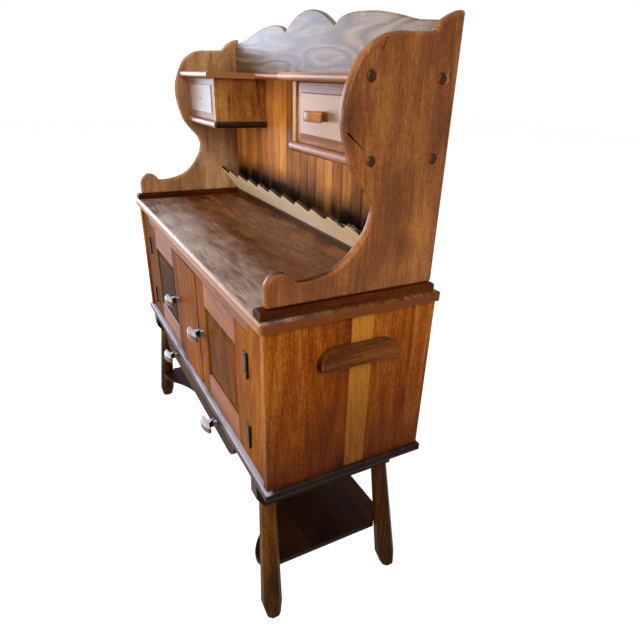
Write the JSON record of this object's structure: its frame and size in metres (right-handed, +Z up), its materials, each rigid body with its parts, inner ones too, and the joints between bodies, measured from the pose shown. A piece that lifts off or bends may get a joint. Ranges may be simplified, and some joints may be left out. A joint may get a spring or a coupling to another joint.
{
  "type": "bakers cabinet",
  "caption": "Bakers cabinet: panelled doors and a hung drawer under a wide counter, scroll-sided hutch with small drawers, beaded back and plate rail, on splayed legs.",
  "frame": {"origin": "centre of the overall box on the floor", "axes": "+Z up, +X to the right as seen from the front, the doors face -Y"},
  "size_m": [1.3538, 0.5034, 1.5287],
  "materials": {
    "case_wood": "satin varnish over a warm brown stain",
    "counter_wood": "worn satin varnish",
    "dark_wood": "dark satin varnish",
    "leg_wood": "satin varnish",
    "back_board_wood": "satin varnish",
    "pale_wood": "thin worn varnish",
    "drawer_wood": "bare planed wood",
    "plug_wood": "satin varnish",
    "iron": "dark oxidised"
  },
  "bodies": {
    "cabinet": {"case_side_left": "case_wood", "case_side_right": "case_wood", "case_back": "drawer_wood", "base_board": "dark_wood", "counter_top": "counter_wood", "end_stile_left": "case_wood", "end_stile_right": "case_wood", "centre_board": "case_wood", "top_rail": "case_wood", "door_stop": "drawer_wood", "inner_shelf": "drawer_wood", "shelf_cleats": "drawer_wood", "leg_batten_left": "dark_wood", "leg_batten_right": "dark_wood", "leg_front_left": "leg_wood", "leg_front_right": "leg_wood", "leg_back_left": "leg_wood", "leg_back_right": "leg_wood", "lower_shelf": "dark_wood", "lift_handle_left": "case_wood", "lift_handle_right": "case_wood", "sill_left": "case_wood", "sill_right": "case_wood", "sill_back": "case_wood", "hutch_side_left": "case_wood", "hutch_side_right": "case_wood", "back_boards": "back_board_wood", "top_shelf": "case_wood", "crest_board": "case_wood", "side_plugs": "plug_wood", "plate_rail": "pale_wood", "box_side_left": "case_wood", "box_side_right": "case_wood", "box_bottom_left": "case_wood", "box_bottom_right": "case_wood", "drawer_runners": "dark_wood", "frame_hinge_leaves": "iron", "hinge_pins": "iron"},
    "door_left": {"door_left_stiles": "case_wood", "door_left_rails": "case_wood", "door_left_panel": "case_wood", "door_left_pull": "case_wood", "door_left_hinge_leaves": "iron", "door_left_screws": "iron"},
    "door_right": {"door_right_stiles": "case_wood", "door_right_rails": "case_wood", "door_right_panel": "case_wood", "door_right_pull": "case_wood", "door_right_hinge_leaves": "iron", "door_right_screws": "iron"},
    "upper_drawer_left": {"upper_left_front": "case_wood", "upper_left_box": "drawer_wood"},
    "upper_drawer_right": {"upper_right_front": "case_wood", "upper_right_box": "drawer_wood", "upper_right_pull": "case_wood"},
    "lower_drawer": {"low_drawer_front": "case_wood", "low_drawer_box": "drawer_wood", "low_drawer_pulls": "case_wood"}
  },
  "joints": [
    {"name": "door_left_hinge", "type": "hinge", "parent": "cabinet", "child": "door_left", "pos_m": [-0.5289, -0.20135, 0.65], "axis": [0, 0, -1], "range_deg": [0, 110]},
    {"name": "door_right_hinge", "type": "hinge", "parent": "cabinet", "child": "door_right", "pos_m": [0.5289, -0.20135, 0.65], "axis": [0, 0, 1], "range_deg": [0, 110]},
    {"name": "upper_drawer_left_slide", "type": "slide", "parent": "cabinet", "child": "upper_drawer_left", "axis": [0, -1, 0], "range_m": [0, 0.13]},
    {"name": "upper_drawer_right_slide", "type": "slide", "parent": "cabinet", "child": "upper_drawer_right", "axis": [0, -1, 0], "range_m": [0, 0.13]},
    {"name": "lower_drawer_slide", "type": "slide", "parent": "cabinet", "child": "lower_drawer", "axis": [0, -1, 0], "range_m": [0, 0.25]}
  ]
}
